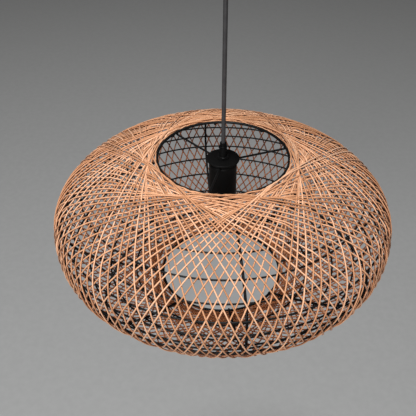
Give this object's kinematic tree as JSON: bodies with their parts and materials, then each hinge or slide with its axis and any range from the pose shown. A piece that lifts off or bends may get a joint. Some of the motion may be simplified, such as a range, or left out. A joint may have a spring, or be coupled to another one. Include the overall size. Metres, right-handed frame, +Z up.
{
  "type": "pendant ceiling light",
  "caption": "Pendant ceiling light with a flattened globe shade of wound peach cord on a black wire cage, hung by a black cord from a round canopy.",
  "frame": {"origin": "on the ceiling, at the centre of the mounting bracket's upper face", "axes": "+Z up into the ceiling, -Y towards the viewer of the front view, +X to the viewer's right"},
  "size_m": [0.499, 0.499, 0.5052],
  "materials": {
    "black_metal": "satin black powder coat",
    "black_plastic": "moulded, low sheen",
    "cord_sheath": "round sheathed flex, low sheen",
    "wound_cord": "twisted paper cord, slight sheen",
    "zinc_steel": "zinc plated",
    "brass": "plain rolled brass",
    "insulator": "moulded off-white",
    "black_rubber": "matt",
    "brown_core": "insulated wire",
    "blue_core": "insulated wire"
  },
  "bodies": {
    "ceiling": {"mounting_bracket": "zinc_steel", "canopy_cup": "black_metal", "canopy_screw_1": "black_metal", "canopy_screw_2": "black_metal", "terminal_block": "insulator", "terminal_fixing_screw": "zinc_steel", "terminal_screw_1": "brass", "terminal_screw_2": "brass", "canopy_cord_grip": "black_plastic", "canopy_grip_screw": "black_metal", "canopy_lock_nut": "zinc_steel", "cord_in_canopy": "cord_sheath", "canopy_live_core": "brown_core", "canopy_neutral_core": "blue_core"},
    "bush": {"cord_bush": "black_rubber"},
    "cord": {"pendant_cord": "cord_sheath"},
    "lamp": {"holder_cord_grip": "black_plastic", "holder_grip_screw": "black_metal", "outer_lock_nut": "black_metal", "cap_disc": "black_plastic", "spider_hub": "black_metal", "spoke_1": "black_metal", "spoke_2": "black_metal", "spoke_3": "black_metal", "cover_tube": "black_plastic", "inner_lock_nut": "zinc_steel", "holder_dome": "black_plastic", "contact_insert": "insulator", "holder_terminal_live": "brass", "holder_terminal_neutral": "brass", "holder_shell": "black_plastic", "thread_shell": "brass", "cord_in_holder": "cord_sheath", "holder_live_core": "brown_core", "holder_neutral_core": "blue_core", "top_ring": "black_metal", "bottom_ring": "black_metal", "rib_1": "black_metal", "rib_2": "black_metal", "rib_3": "black_metal", "rib_4": "black_metal", "rib_5": "black_metal", "rib_6": "black_metal", "rib_7": "black_metal", "rib_8": "black_metal", "upper_hoop_1": "black_metal", "upper_hoop_2": "black_metal", "upper_hoop_3": "black_metal", "upper_hoop_4": "black_metal", "upper_hoop_5": "black_metal", "upper_hoop_6": "black_metal", "lower_hoop_1": "black_metal", "lower_hoop_2": "black_metal", "lower_hoop_3": "black_metal", "lower_hoop_4": "black_metal", "lower_hoop_5": "black_metal", "lower_hoop_6": "black_metal", "woven_shade": "wound_cord"},
    "contact": {"centre_contact": "brass"}
  },
  "joints": [
    {"name": "swing_sideways", "type": "hinge", "parent": "ceiling", "child": "bush", "pos_m": [0, 0, -0.05], "axis": [0, 1, 0], "range_deg": [-25, 25]},
    {"name": "swing_forward", "type": "hinge", "parent": "bush", "child": "cord", "pos_m": [0, 0, -0.05], "axis": [1, 0, 0], "range_deg": [-25, 25]},
    {"name": "lamp_turn", "type": "hinge", "parent": "cord", "child": "lamp", "pos_m": [0, 0, -0.2638], "axis": [0, 0, 1], "range_deg": [-180, 180], "stiffness_Nm_per_rad": 0.003},
    {"name": "contact_flex", "type": "hinge", "parent": "lamp", "child": "contact", "pos_m": [-0.009, 0, -0.3277], "axis": [0, -1, 0], "range_deg": [0, 4.5], "stiffness_Nm_per_rad": 0.3, "springref_deg": -4.58}
  ]
}
